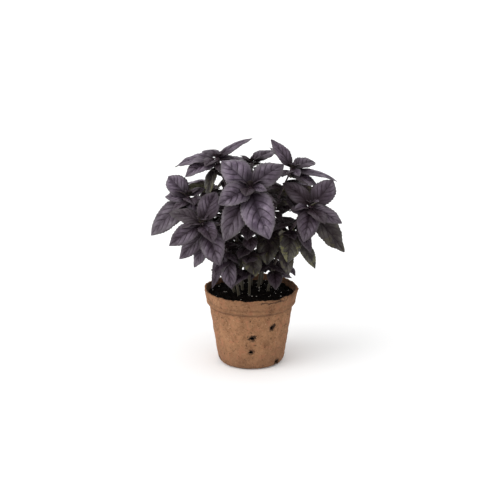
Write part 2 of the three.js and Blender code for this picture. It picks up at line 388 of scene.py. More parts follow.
def corners_of(name):
    """The different corners of a CAD piece, in millimetres."""
    points = np.array([vertex.co for vertex in nodes[name].data.vertices]) / MM
    return np.unique(points.round(3), axis=0)


def ring_middles(name):
    points = corners_of(name)
    points = points[points[:, 2].argsort()]
    return points.reshape(-1, CAD_STEM_SIDES, 3).mean(axis=1)


def unit(vector):
    return vector / np.linalg.norm(vector)


stem_path = {letter: ring_middles("stem_" + letter) for letter in STEM_LETTERS}
for letter, path in stem_path.items():
    print("stem", letter, "rises", round(path[-1][2] - path[0][2]), "mm")

# %% [markdown]
# ## Reading a leaf from its CAD plate
# A CAD leaf is a thin folded plate. Six corners nearest its stem are the stalk's start and six
# furthest away are the tip. The line between them, the widest way across it and the side that it
# bows to give the leaf's own directions, so the fine leaf lies exactly where the plate does.

# %% Read a leaf
END_CORNERS = 6


def nearest_on(path, point):
    """The point of a path that lies nearest, searched between its corners too."""
    best = None
    for start, end in zip(path[:-1], path[1:]):
        way = end - start
        share = np.clip((point - start) @ way / (way @ way), 0, 1)
        spot = start + way * share
        gap = np.linalg.norm(point - spot)
        if best is None or gap < best[0]:
            best = (gap, spot)
    return best[1]


def read_leaf(name):
    points = corners_of(name)
    path = stem_path[name[5]]
    gaps = [np.linalg.norm(point - nearest_on(path, point)) for point in points]
    first = points[int(np.argmin(gaps))]
    start = points[np.linalg.norm(points - first, axis=1).argsort()[:END_CORNERS]].mean(axis=0)
    order = np.linalg.norm(points - start, axis=1).argsort()
    tip = points[order[-END_CORNERS:]].mean(axis=0)
    stalk_end = points[order[END_CORNERS:2 * END_CORNERS]].mean(axis=0)
    length = np.linalg.norm(tip - start)
    along = unit(tip - start)
    aside = points - start
    aside = aside - np.outer(aside @ along, along)
    across = np.linalg.svd(aside, full_matrices=False)[2][0]
    upper = unit(np.cross(along, across))
    if (aside @ upper).mean() < 0:
        upper = -upper
    across = np.cross(upper, along)
    breadth = aside @ across
    sag = (aside @ upper)[abs(breadth) < 0.2].max()
    return {
        "start": start,
        "along": along,
        "upper": upper,
        "length": length,
        "stalk": (stalk_end - start) @ along,
        "width": breadth.max() - breadth.min(),
        "bend": 4 * math.atan(2 * sag / length),
        "root": np.linalg.norm(start - nearest_on(path, start)),
    }


leaf_names = sorted(name for name in nodes if name.startswith("leaf_"))
cad_leaves = {name: read_leaf(name) for name in leaf_names}
lengths = [leaf["length"] for leaf in cad_leaves.values()]
print(len(cad_leaves), "leaves,", round(min(lengths)), "to", round(max(lengths)), "mm long")

# %% [markdown]
# ## The shape of a basil leaf
# A basil leaf is egg-shaped with a drawn-out tip and small teeth. Its skin swells between the
# veins like a quilt, the midrib is a groove above and a ridge below, and no two leaves curl alike.
# It could be modelled once and copied, but copies show. Here each leaf is lofted: rings of points
# go over the upper face and back along the underside, from the stalk to the tip, and the rules for
# width, fold, quilting and teeth move them. Upper and lower face share the rim, so it is closed.

# %% Leaf outline
RING_COLUMNS = 20
STALK_ROWS = 7
STALK_HALF = 0.75
BARE_STALK = 0.25  # share of the CAD stalk that stays bare below the blade
BLADE_START = (0.0, 0.02)  # share of the blade over which it opens out of the stalk
over = np.linspace(-1, 1, RING_COLUMNS + 1)
ring_side = np.concatenate([over, over[-2:0:-1]])
ring_under = np.concatenate([np.zeros(RING_COLUMNS + 1), np.ones(RING_COLUMNS - 1)])
RING = len(ring_side)


def ease(low, high, value):
    share = np.clip((value - low) / (high - low), 0, 1)
    return share * share * (3 - 2 * share)


def outline(share):
    """Half width of the blade at a share of its length: round at the base, drawn out at the tip."""
    body = 2.4 * share**0.52 * (1 - share) ** 0.78
    return body * (1 - 0.22 * ease(0.72, 1.0, share))


def leaf_rows(leaf, rows):
    """Shares of the length where a leaf has a ring, the bare stalk's share, and shares of the blade."""
    even = np.linspace(0, 1, rows)
    blade = 0.6 * even + 0.4 * (0.5 - 0.5 * np.cos(np.pi * even))
    bare = BARE_STALK * leaf["stalk"] / leaf["length"]
    share = np.concatenate([
        [-leaf["root"] / leaf["length"]],
        np.linspace(0, bare, STALK_ROWS, endpoint=False),
        bare + (1 - bare) * blade,
    ])[:, None]
    return share, bare, np.clip((share - bare) / (1 - bare), 0, 1)


def leaf_traits(leaf):
    """What makes one leaf different, drawn from its own seed."""
    random = np.random.default_rng(leaf["seed"])
    return {
        "fold": random.uniform(0.26, 0.46),
        "arch": random.uniform(0.16, 0.38),
        "twist": random.uniform(-0.22, 0.22),
        "sway": random.uniform(-0.035, 0.035) * leaf["length"],
        "droop": random.uniform(0.0, 0.075) * leaf["length"],
        "ripple": random.uniform(0.02, 0.06) * leaf["width"] / 2,
        "phase": random.uniform(0, 2 * np.pi, 4),
        "pairs": random.uniform(4.6, 5.8),
        "sweep": random.uniform(0.36, 0.48),
    }


def leaf_reach(leaf, traits, share, bare, blade, side):
    """How far the leaf reaches from its middle line: a toothed blade on a round stalk."""
    phase = traits["phase"]
    teeth = round(np.clip(leaf["length"] / 3.6, 8, 15))
    notch = ((blade * teeth + phase[0] + 0.25 * np.sign(side)) % 1.0) ** 0.8
    tooth_size = 0.095 * ease(0.04, 0.2, blade) * (1 - ease(0.86, 1.0, blade))
    toothed = 1 + tooth_size * (notch - 0.5) * abs(side) ** 5
    wobble = 1 + 0.035 * np.sin(7 * blade + phase[1] + 1.5 * side)
    spread = leaf["width"] / 2 * outline(np.clip(blade, 1e-4, 1)) * toothed * wobble
    waist = np.sin(np.pi * np.clip(share / max(bare, 1e-3), 0, 1))
    stalk_half = STALK_HALF * (1 - 0.25 * waist)
    reach = np.sqrt((spread * ease(*BLADE_START, blade)) ** 2 + (stalk_half * (1 - blade) ** 1.5) ** 2)
    return np.maximum(reach, 0.15)


print("a ring round a leaf has", RING, "points")

# %% [markdown]
# ## Quilting, midrib and skin
# The skin swells between one side vein and the next. `vein_phase` grows by one from vein to
# vein, so a sine of it is low on the veins and high between them, and the finish reads the same
# number to paint the veins in the same places.

# %% Leaf relief
VEIN_CURVE = 1.35
SKIN_HALF = 0.17


def vein_phase(traits, blade, side):
    """Grows by one from each side vein to the next; the quilting and the finish both read it."""
    away = abs(side)
    spine = (blade**1.1 - traits["sweep"] * away**VEIN_CURVE) * traits["pairs"]
    spine = spine + 0.14 * np.sign(side) + 0.1
    return spine + 0.07 * np.sin(9 * blade + traits["phase"][1]) * away


def blade_lift(half, traits, reach, spine, blade, side):
    """Height of the blade over its middle line: folded, quilted between the veins and rippled."""
    away = abs(side)
    phase, ripple = traits["phase"], traits["ripple"]
    puff = abs(np.sin(np.pi * spine)) ** 0.62
    quilt = 0.07 * half * puff * ease(0.0, 0.22, away) * (1 - away**3.0)
    quilt = quilt * np.sin(np.pi * blade) ** 0.5
    groove = 0.05 * half * np.exp(-((away / 0.11) ** 2)) * np.sin(np.pi * blade) ** 0.6
    wave = ripple * away**2.2 * np.sin(11 * blade + phase[2] + 2.2 * np.sign(side))
    wave = wave + 0.6 * ripple * away**3 * np.sin(23 * blade + phase[3] + np.sign(side))
    folded = reach * (traits["fold"] * away - traits["arch"] * away**2)
    return (folded + quilt - groove + wave) * ease(*BLADE_START, blade)


def skin_offset(blade, side, breadth, under):
    """Half the thickness: a thin skin, a rib under the midrib and a round stalk."""
    skin_half = SKIN_HALF * np.sqrt(np.clip(1 - side**2, 0, 1))
    rib = STALK_HALF * (1 - blade) ** 0.8
    ridge = np.sqrt(np.clip(rib**2 - breadth**2, 0, None))
    above = np.maximum(skin_half, ridge * (1 - ease(0.0, 0.08, blade)))
    return np.where(under > 0.5, -np.maximum(skin_half, ridge), above)

# %% [markdown]
# ## Bending a leaf into its place
# The flat leaf is bent along an arc, as its CAD plate is, then twisted and let droop a little.
# Deep in the crown little light gets in, so the leaves are marked darker towards its middle.

# %% Leaf in its place
CROWN_MIDDLE = np.array([0, 14, 165])  # the crown of leaves is about an egg round this point
CROWN_HALF = np.array([108, 86, 92])
CROWN_SHADE = 0.48  # how much darker a leaf is in the middle of the crown


def bent_leaf(leaf, traits, share, blade, breadth, lift):
    """Bends the flat leaf along its arc, twists it and stands it in its place on the stem."""
    length, bend, droop = leaf["length"], leaf["bend"], traits["droop"]
    bow = length / (2 * math.sin(bend / 2))
    slope = bend * (0.5 - np.clip(share, 0, 1))
    forward = bow * (math.sin(bend / 2) - np.sin(slope)) + np.minimum(share, 0) * length
    rise = bow * (np.cos(slope) - math.cos(bend / 2)) - droop * blade**2.6
    slope = slope - 2.6 * droop * blade**1.6 / length
    turn = traits["twist"] * blade
    sway = traits["sway"] * np.sin(np.pi * np.clip(share, 0, 1)) * ease(*BLADE_START, blade)
    sideways = breadth * np.cos(turn) - lift * np.sin(turn) + sway
    upwards = breadth * np.sin(turn) + lift * np.cos(turn)
    forward = forward - np.sin(slope) * upwards
    rise = rise + np.cos(slope) * upwards
    across = np.cross(leaf["upper"], leaf["along"])
    return (
        leaf["start"]
        + forward[..., None] * leaf["along"]
        + sideways[..., None] * across
        + rise[..., None] * leaf["upper"]
    )


def leaf_rings(leaf, rows):
    """Points of one leaf, in millimetres, with the side and the share of the blade at each."""
    traits = leaf_traits(leaf)
    share, bare, blade = leaf_rows(leaf, rows)
    side = ring_side[None, :]
    under = np.broadcast_to(ring_under[None, :], (len(share), RING))
    reach = leaf_reach(leaf, traits, share, bare, blade, side)
    spine = vein_phase(traits, blade, side)
    lift = blade_lift(leaf["width"] / 2, traits, reach, spine, blade, side)
    lift = lift + skin_offset(blade, side, side * reach, under)
    points = bent_leaf(leaf, traits, share, blade, side * reach, lift)
    from_middle = np.linalg.norm((points - CROWN_MIDDLE) / CROWN_HALF, axis=-1)
    shade = leaf["shade"] + CROWN_SHADE * (1 - ease(0.35, 0.9, from_middle))
    blade = np.broadcast_to(blade, under.shape)
    stalk = 1 - ease(0.0, 0.03, blade)
    marks = {"under": under, "stalk": stalk, "spine": spine, "shade": np.minimum(shade, 1)}
    return points.reshape(-1, 3), np.broadcast_to(side, under.shape).ravel(), blade.ravel(), marks


# %% [markdown]
# ## From rings to a mesh
# Neighbouring rings are joined by quads and the two ends are closed, so a leaf is one skin with
# an inside. The chart and the marks go onto the mesh, where the leaf finish finds them.

# %% Leaf mesh


def loft_faces(count, offset):
    """Quads between neighbouring rings, and a face that closes each end."""
    faces = []
    for row in range(count - 1):
        here, there = offset + row * RING, offset + (row + 1) * RING
        for step in range(RING):
            after = (step + 1) % RING
            faces.append((here + step, there + step, there + after, here + after))
    last = offset + (count - 1) * RING
    faces.append(tuple(range(offset, offset + RING)))
    faces.append(tuple(range(last + RING - 1, last - 1, -1)))
    return faces


def leaf_object(name, leaves, material, rows):
    """One mesh that holds all these leaves."""
    points, charts, faces = [], [], []
    values = {"age": [], "seed": [], "shade": [], "under": [], "stalk": [], "spine": []}
    count = 0
    for leaf in leaves:
        spots, side, along, marks = leaf_rings(leaf, rows)
        faces += loft_faces(len(spots) // RING, count)
        count += len(spots)
        points.append(spots * MM)
        charts.append(np.stack([0.5 + 0.5 * side, along], axis=1))
        values["age"].append(np.full(len(spots), leaf["age"]))
        values["seed"].append(np.full(len(spots), (leaf["seed"] * 0.618) % 1.0))
        for key, mark in marks.items():
            values[key].append(mark.ravel())
    mesh = bpy.data.meshes.new(name)
    mesh.from_pydata(np.concatenate(points).tolist(), [], faces)
    owner = np.zeros(len(mesh.loops), np.int32)
    mesh.loops.foreach_get("vertex_index", owner)
    chart = np.concatenate(charts)[owner]
    mesh.uv_layers.new(name="blade").data.foreach_set("uv", chart.astype(np.float32).ravel())
    for key, parts in values.items():
        layer = mesh.attributes.new(key, "FLOAT", "POINT")
        layer.data.foreach_set("value", np.concatenate(parts).astype(np.float32))
    mesh.shade_smooth()
    mesh.materials.append(material)
    made = bpy.data.objects.new(name, mesh)
    scene.collection.objects.link(made)
    return made


# %% [markdown]
# ## The leaves
# Every CAD leaf is replaced by a lofted one in the same place. The record says which leaves are
# old. A few others are turning too, some are darker than the rest with painted shade, and a few
# seen nearly on edge are a little broader or rolled to the front: small tables hold those, by
# stem and number.

# %% Leaves
BLADE_ROWS = 62
leaf_slot = {part["node"]: part["material_slot"] for part in frame["record"]["subparts"]}
TURNING = {"d": {5: 0.7}, "e": {3: 0.36, 4: 0.2}, "f": {3: 0.5, 4: 0.25, 7: 0.3}}
# Painted shade per leaf, by stem and number: how much darker a leaf is drawn where it lies in the shadow of
# others.
PAINTED_SHADE = {
    "a": {1: 0.1, 2: 0.15, 4: 0.2, 5: 0.3, 6: 0.2},
    "b": {3: 0.08, 5: 0.35, 6: 0.3},
    "c": {1: 0.4, 2: 0.3, 3: 0.15},
    "d": {1: 0.56, 2: 0.62, 3: 0.52, 4: 0.2, 5: 0.5, 8: 0.45},
    "e": {1: 0.15, 2: 0.2, 3: 0.1, 4: 0.2},
    "f": {1: 0.4, 2: 0.5, 3: 0.38, 4: 0.45, 5: 0.55, 6: 0.5, 7: 0.4},
    "h": {1: 0.2, 2: 0.4, 3: 0.1},
    "i": {1: 0.2, 2: 0.3, 3: 0.15, 4: 0.4},
    "j": {2: 0.2},
}
BROAD = {"a": {2: 1.3, 4: 1.25}, "c": {2: 1.1}, "e": {4: 1.2}}
ROLLED = {"a": {2: 0.12, 4: 0.2}}
FRONT = np.array([0, -1, 0])


def trait_of(table, name, usual):
    """A leaf's value in one of the tables above, which go by stem and number."""
    return table.get(name[5], {}).get(int(name[6:]), usual)


for index, name in enumerate(leaf_names):
    leaf = cad_leaves[name]
    slot = leaf_slot[name]
    leaf["seed"] = index + 1
    leaf["age"] = 0.9 if slot == "old_leaf" else trait_of(TURNING, name, 0.0)
    leaf["shade"] = trait_of(PAINTED_SHADE, name, 0.0)
    leaf["width"] *= trait_of(BROAD, name, 1.0)
    rolled = leaf["upper"] + FRONT * trait_of(ROLLED, name, 0.0)
    leaf["upper"] = unit(rolled - leaf["along"] * (rolled @ leaf["along"]))
    piece = leaf_object(name.replace("leaf", "blade"), [leaf], leaf_skin[slot], BLADE_ROWS)
    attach(piece, "root")
    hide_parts(name)
print("one leaf has", len(piece.data.polygons), "faces")

# %% [markdown]
# ## Small leaves
# At the head of every stem the youngest leaves stand in crossed pairs, and further down small
# shoots sprout where older leaves join. They are too small and too many to be CAD pieces. Each
# stem's small leaves make one piece.

# %% A small leaf
STEM_HALF = 1.9  # a small leaf starts this far from the middle of its stem


def heading_vector(heading, rise):
    flat, up = math.radians(heading), math.radians(rise)
    level = math.cos(up)
    return np.array([level * math.cos(flat), level * math.sin(flat), math.sin(up)])


def place_on(path, at):
    steps = np.linalg.norm(np.diff(path, axis=0), axis=1)
    way = np.concatenate([[0], np.cumsum(steps)])
    return np.array([np.interp(at * way[-1], way, path[:, axis]) for axis in range(3)])


def small_leaf(letter, at, heading, rise, reach, width, **more):
    """A leaf in the form that read_leaf gives; more may hold stalk, facing, bend, age and shade."""
    along = heading_vector(heading, rise)
    across = unit(np.cross(np.array(more.get("facing", (0, 0, 1)), float), along))
    return {
        "start": place_on(stem_path[letter], at) + along * STEM_HALF,
        "along": along,
        "upper": np.cross(along, across),
        "length": reach - STEM_HALF,
        "stalk": more.get("stalk", 4),
        "width": width,
        "bend": math.radians(more.get("bend", 26)),
        "root": STEM_HALF * 0.8,
        "age": more.get("age", 0.0),
        # Unless given, a small leaf gets a little painted shade.
        "shade": more.get("shade", 0.2),
    }

# %% [markdown]
# ## Leaves placed one by one
# A few small leaves fill the front of the plant, so each has its own row here. `at` is the share
# of the way up the stem, `heading` a compass direction and `rise` the angle over level, as in
# the CAD source. `facing` is where the upper side looks, and sizes are in millimetres.

# %% Leaves placed one by one
HAND_PLACED = {
    "a": [
        dict(at=0.4, heading=-88, rise=-62, reach=44, width=22, stalk=14,
             facing=(0, -0.9, 0.4), age=0.8),
        dict(at=0.97, heading=60, rise=30, reach=24, width=11, facing=(0, -0.6, 0.8)),
        dict(at=0.93, heading=70, rise=-20, reach=40, width=24, stalk=10, facing=(0, 0.4, 0.9)),
    ],
    "b": [
        dict(at=1, heading=-20, rise=-8, reach=20, width=10, stalk=3, facing=(-0.3, -0.7, 0.6)),
        dict(at=0.8, heading=100, rise=-10, reach=36, width=21, stalk=9),
    ],
    "c": [
        dict(at=1, heading=133, rise=29, reach=42, width=16, stalk=6),
        dict(at=1, heading=-70, rise=-10, reach=22, width=11, facing=(0, -0.6, 0.8)),
        dict(at=0.95, heading=85, rise=-18, reach=42, width=26, stalk=10, facing=(0.2, 0.6, 0.8)),
        dict(at=0.2, heading=-10, rise=-25, reach=40, width=9, stalk=12,
             facing=(0, -0.9, 0.3), bend=70),
    ],
    "d": [
        dict(at=0.55, heading=-80, rise=-58, reach=42, width=17, stalk=14,
             facing=(0, -0.9, 0.4), age=0.7),
        dict(at=0.93, heading=80, rise=-30, reach=44, width=25, stalk=12, facing=(0.4, 0.5, 0.7)),
        dict(at=1, heading=-60, rise=30, reach=18, width=9, stalk=3, facing=(0, -0.5, 0.9)),
        dict(at=0.975, heading=-155, rise=-8, reach=21, width=15, stalk=2, facing=(0, -0.9, 0.4)),
        dict(at=0.975, heading=-20, rise=-14, reach=22, width=15, stalk=2, facing=(0, -0.9, 0.4)),
        dict(at=0.96, heading=60, rise=24, reach=22, width=15, stalk=2, facing=(0, -0.9, 0.4)),
    ],
    "e": [
        dict(at=0.94, heading=95, rise=-20, reach=40, width=24, stalk=10, facing=(-0.4, 0.5, 0.8)),
        dict(at=1, heading=20, rise=20, reach=22, width=12, facing=(0, -0.5, 0.9)),
    ],
    "f": [
        dict(at=0.86, heading=-164, rise=-64, reach=46, width=21, stalk=10,
             facing=(-0.5, -0.8, 0.3), bend=16),
        dict(at=1, heading=-40, rise=-30, reach=22, width=15, facing=(0, -0.8, 0.6)),
        dict(at=0.62, heading=-80, rise=-66, reach=30, width=12, stalk=9,
             facing=(0.3, -0.9, 0.2), age=0.4),
    ],
    "h": [
        dict(at=1, heading=160, rise=6, reach=30, width=18, stalk=5),
        dict(at=0.86, heading=60, rise=-30, reach=48, width=27, stalk=12, facing=(0.3, 0.8, 0.5)),
        dict(at=0.72, heading=120, rise=-42, reach=50, width=27, stalk=14,
             facing=(-0.2, 0.9, 0.4), age=0.5),
    ],
    "i": [
        dict(at=1, heading=88, rise=-22, reach=44, width=27, stalk=9, facing=(-0.1, 0.7, 0.7)),
        dict(at=0.72, heading=100, rise=-48, reach=50, width=26, stalk=15,
             facing=(-0.1, 0.9, 0.4), age=0.3),
        dict(at=0.74, heading=-170, rise=-40, reach=46, width=24, stalk=14, facing=(-0.7, 0.3, 0.6)),
    ],
    "j": [
        dict(at=1, heading=92, rise=-24, reach=44, width=26, stalk=9, facing=(0.1, 0.7, 0.7)),
        dict(at=0.74, heading=120, rise=-46, reach=48, width=25, stalk=14, facing=(0, 0.9, 0.4)),
        dict(at=0.72, heading=-5, rise=-44, reach=44, width=22, stalk=14,
             facing=(0.8, 0.1, 0.6), age=0.3),
    ],
}
print(sum(len(rows) for rows in HAND_PLACED.values()), "leaves are placed by hand")

# %% [markdown]
# ## Shoot tips and side shoots
# The other small leaves follow a rule. At a tip each pair opens at right angles to the pair
# below it and stands up more steeply. Side shoots spread three leaves round the stem at about
# even steps. Seeded random turns and sizes keep them from looking stamped.

# %% Small leaves
SMALL_ROWS = 38
TIP_PAIRS = [  # opening pairs near a stem's head: place on the stem, rise, reach, width
    (0.965, -24, 30, 22),
    (0.985, -6, 23, 17),
    (1, 30, 15, 8.5),
    (1, 50, 10, 6),
    (1, 70, 6, 3.4),
]
AXILS = (0.22, 0.33, 0.44, 0.54, 0.64, 0.74, 0.85)  # places along a stem where small shoots sprout


def tip_leaves(letter, random):
    turn = random.uniform(0, 180)
    for pair, (at, rise, reach, width) in enumerate(TIP_PAIRS):
        for opposite in (0, 180):
            heading = turn + 90 * pair + opposite + random.uniform(-14, 14)
            size = random.uniform(0.85, 1.15)
            # Tip leaves get strong painted shade, for the heart of the shoot.
            more = {"stalk": 1.2, "bend": 34, "shade": 0.7}
            yield small_leaf(letter, at, heading, rise, reach * size, width * size, **more)


def axil_leaves(letter, random):
    for number, at in enumerate(AXILS):
        turn = random.uniform(0, 180)
        for opposite in (0, 120, 240):
            heading = turn + opposite + random.uniform(-20, 20)
            reach = random.uniform(18, 40) * (1.1 - 0.3 * at)
            rise = random.uniform(-30, 40)
            width = reach * random.uniform(0.46, 0.62)
            # Side-shoot leaves get painted shade, deep among the stems.
            more = {"stalk": reach * 0.2, "age": 0.4 * (1 - at), "shade": 0.6}
            yield small_leaf(letter, at, heading, rise, reach, width, **more)


piece_seed = 100
for number, letter in enumerate(STEM_LETTERS):
    random = np.random.default_rng(number + 40)
    group = [small_leaf(letter, **row) for row in HAND_PLACED[letter]]
    group += list(tip_leaves(letter, random)) + list(axil_leaves(letter, random))
    for leaf in group:
        piece_seed += 1
        leaf["seed"] = piece_seed
    piece = leaf_object("small_leaves_" + letter, group, leaf_skin["young_leaf"], SMALL_ROWS)
    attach(piece, "root")
    print("stem", letter, "carries", len(group), "small leaves")

# %% [markdown]
# ## Stem finish
# Purple basil stems are wine-dark at the top and turn olive and a little woody near the mix. The
# colour runs by height above the pot's base, with long streaks up the stem.

# %% Stem finish


def stem_finish():
    finish = Finish("stem")
    place = finish.place()
    _, _, height = finish.parts(place)
    streak = finish.grain(finish.stretched(place, (1, 1, 0.16)), 0.0011, 3)
    young = finish.mix(streak, paint(40, 22, 32), paint(74, 52, 60))
    woody = finish.mix(streak, paint(34, 29, 21), paint(74, 66, 44))
    skin = finish.mix(height.step(0.09, 0.16), woody, young)
    finish.shader.inputs["Sheen Weight"].default_value = 0.2
    return finish.surface(
        base_color=skin,
        roughness=0.45 + 0.25 * streak,
        normal=finish.bump(streak, 0.0003, 0.7),
    )


stem_skin = stem_finish()

# %% [markdown]
# ## Stems
# A basil stem is four-cornered, thins out upwards and swells a little where leaves join. It
# could be a tube of even width, but then it looks like wire. A Geometry Nodes tree sweeps a
# square with rounded corners along the path and reads the width at each point from the
# attribute `girth`, so one tree serves all nine stems. Three helpers come first: one starts a
# tree, one adds a node and one closes the tree, and `grow` then runs it and keeps the result.

# %% Geometry Nodes helpers


def new_tree(name, inputs):
    """An empty Geometry Nodes tree with these named inputs, and its first and last node."""
    tree = bpy.data.node_groups.new(name, "GeometryNodeTree")
    tree.interface.new_socket("Geometry", in_out="INPUT", socket_type="NodeSocketGeometry")
    for label, kind in inputs.items():
        tree.interface.new_socket(label, in_out="INPUT", socket_type=kind)
    tree.interface.new_socket("Geometry", in_out="OUTPUT", socket_type="NodeSocketGeometry")
    return tree, tree.nodes.new("NodeGroupInput"), tree.nodes.new("NodeGroupOutput")


def add_node(tree, kind, settings, sockets):
    """A node of the tree: settings first, then values or links for its sockets."""
    made = tree.nodes.new(kind)
    for key, value in settings.items():
        setattr(made, key, value)
    for key, value in sockets.items():
        if isinstance(value, bpy.types.NodeSocket):
            tree.links.new(value, made.inputs[key])
        else:
            made.inputs[key].default_value = value
    return made


def close_tree(tree, last, geometry, material):
    """Ends a tree with real geometry in one finish."""
    real = add_node(tree, "GeometryNodeRealizeInstances", {}, {"Geometry": geometry})
    skin = add_node(tree, "GeometryNodeSetMaterial", {}, {"Geometry": real.outputs[0], "Material": material})
    tree.links.new(skin.outputs[0], last.inputs[0])
    return tree


def grow(name, source, tree, values):
    """Runs a tree on a mesh and returns the result as a plain object."""
    modifier = source.modifiers.new("grow", "NODES")
    modifier.node_group = tree
    for item in tree.interface.items_tree:
        if item.in_out == "INPUT" and item.name in values:
            modifier[item.identifier] = values[item.name]
    grid = bpy.context.evaluated_depsgraph_get()
    mesh = bpy.data.meshes.new_from_object(source.evaluated_get(grid))
    source.modifiers.remove(modifier)
    mesh.name = name
    made = bpy.data.objects.new(name, mesh)
    scene.collection.objects.link(made)
    return made

# %% [markdown]
# ## A square swept along a path
# The tree turns a chain of points into a curve and sweeps the small square along it. `Corner`
# rounds the square's corners, and the width comes from the path itself.

# %% Stem tree
SQUARE_SIDE = 1.8  # of the swept square, before the girth multiplies it
SQUARE_CORNER = 0.45


def stem_tree():
    inputs = {"Corner": "NodeSocketFloat", "Material": "NodeSocketMaterial"}
    tree, first, last = new_tree("stem", inputs)
    curve = add_node(tree, "GeometryNodeMeshToCurve", {}, {"Mesh": first.outputs["Geometry"]})
    sides = {"Width": SQUARE_SIDE, "Height": SQUARE_SIDE}
    square = add_node(tree, "GeometryNodeCurvePrimitiveQuadrilateral", {}, sides)
    corner_sockets = {"Curve": square.outputs[0], "Count": 3, "Radius": first.outputs["Corner"]}
    profile = add_node(tree, "GeometryNodeFilletCurve", {"mode": "POLY"}, corner_sockets)
    girth = add_node(tree, "GeometryNodeInputNamedAttribute", {"data_type": "FLOAT"}, {"Name": "girth"})
    sweep_sockets = {
        "Curve": curve.outputs[0],
        "Profile Curve": profile.outputs[0],
        "Scale": girth.outputs["Attribute"],
        "Fill Caps": True,
    }
    sweep = add_node(tree, "GeometryNodeCurveToMesh", {}, sweep_sockets)
    return close_tree(tree, last, sweep.outputs[0], first.outputs["Material"])


sweep_tree = stem_tree()
print("stem tree:", len(sweep_tree.nodes), "nodes")

# %% [markdown]
# ## The nine stems
# Each path is the CAD stem's own, made finer and slightly crooked, and it starts a little below
# the surface of the mix. The girth shrinks upwards and swells at every joint.

# %% Stems
PATH_POINTS = 90
GIRTH_FOOT = 1.75
GIRTH_HEAD = 1.05
SINK = 5.0  # how far a stem goes on down into the mix
KNOT_SWELL = 0.38  # how much thicker a stem is where leaves join
KNOT_REACH = 3.2


def softened(line, times):
    """Each point of a line moved towards its neighbours, again and again; the ends stay."""
    for _ in range(times):
        line[1:-1] = (line[:-2] + 2 * line[1:-1] + line[2:]) / 4
    return line


def stem_line(letter, random):
    """The fine path of a stem with its girth at each point."""
    path = stem_path[letter]
    down = path[0] - unit(path[1] - path[0]) * SINK
    path = np.vstack([down, path])
    shares = np.linspace(0, 1, PATH_POINTS)
    line = np.array([place_on(path, share) for share in shares])
    line = softened(line, 6)
    girth = GIRTH_FOOT + (GIRTH_HEAD - GIRTH_FOOT) * shares**0.8
    joints = [leaf["start"] for name, leaf in cad_leaves.items() if name[5] == letter]
    joints += [place_on(stem_path[letter], at) for at in AXILS]
    for joint in joints:
        gap = np.linalg.norm(line - joint, axis=1)
        girth = np.maximum(girth, girth * (1 + KNOT_SWELL * np.exp(-((gap / KNOT_REACH) ** 2))))
    kink = softened(random.normal(0, 0.25, (PATH_POINTS, 3)), 8)
    return line + kink, girth


for number, letter in enumerate(STEM_LETTERS):
    line, girth = stem_line(letter, np.random.default_rng(number + 70))
    mesh = bpy.data.meshes.new("stem_line")
    mesh.from_pydata((line * MM).tolist(), [(step, step + 1) for step in range(PATH_POINTS - 1)], [])
    layer = mesh.attributes.new("girth", "FLOAT", "POINT")
    layer.data.foreach_set("value", (girth * MM).astype(np.float32))
    source = bpy.data.objects.new("stem_line", mesh)
    scene.collection.objects.link(source)
    piece = grow("shoot_" + letter, source, sweep_tree, {"Corner": SQUARE_CORNER, "Material": stem_skin})
    bpy.data.objects.remove(source)
    piece.data.shade_smooth()
    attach(piece, "root")
    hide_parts("stem_" + letter)
print("one stem has", len(piece.data.polygons), "faces")

# %% [markdown]
# ## Pot finish
# The pot is pressed from wet wood fibre and peat. Dry, it is a matt brown with orange and grey
# fibres, dark flecks and shallow pits, and it is darker low down. Round the three small tears in
# its front the fibre is stained by the wet mix behind, so the finish measures its distance to
# each tear.

# %% Pot places
LEDGE = 69.8  # height of the inner corner under the collar, in millimetres
WALL_FOOT = (39.2, 6.5)  # radius and height where the straight wall starts, in millimetres
WALL_HEAD = (48.6, 69.1)  # and where it ends, under the collar
WALL_SLOPE = (WALL_HEAD[0] - WALL_FOOT[0]) / (WALL_HEAD[1] - WALL_FOOT[1])
TEARS = [  # heading, height in millimetres, stain radius
    (-58, 52, 5.4),
    (-88, 41, 5.4),
    (-90, 23, 4.6),
]
# The drain slots get dark spots as painted shade.
SLOTS = [(-160, 5, 6), (-40, 5, 6), (80, 5, 6)]  # drain slots in the bottom edge
SCARS = [(-55.5, 54.5, 2.9), (-84.5, 42.8, 2.9), (-92.5, 39.5, 2.4)]  # stains beside tears


def tear_middle(heading, height):
    """The middle of a tear, on the outside of the body's cone."""
    radius = (WALL_FOOT[0] + (height - WALL_FOOT[1]) * WALL_SLOPE) * MM
    turn = math.radians(heading)
    return (radius * math.cos(turn), radius * math.sin(turn), height * MM)


print("tears at mm:", [[round(side / MM) for side in tear_middle(*tear[:2])] for tear in TEARS])

# %% [markdown]
# ## Layers of the pulp
# Pressed pulp is a felt of fibres. Noise stretched sideways gives the long fibres, even noise
# the felt, and cells the shallow pits between clumps, which are painted darker as shade. Then
# come the marks of use: the mix that stuck to the rim, dirt near the rim and the stained tears.
# The foot is darker towards the bottom. Painted light goes on too: shade on the inner wall,
# shadow lines under the collar and under a crack in the front, dark spots at the drain slots,
# and the collar's left side kept paler as if lit from the left.

# %% Pot colours


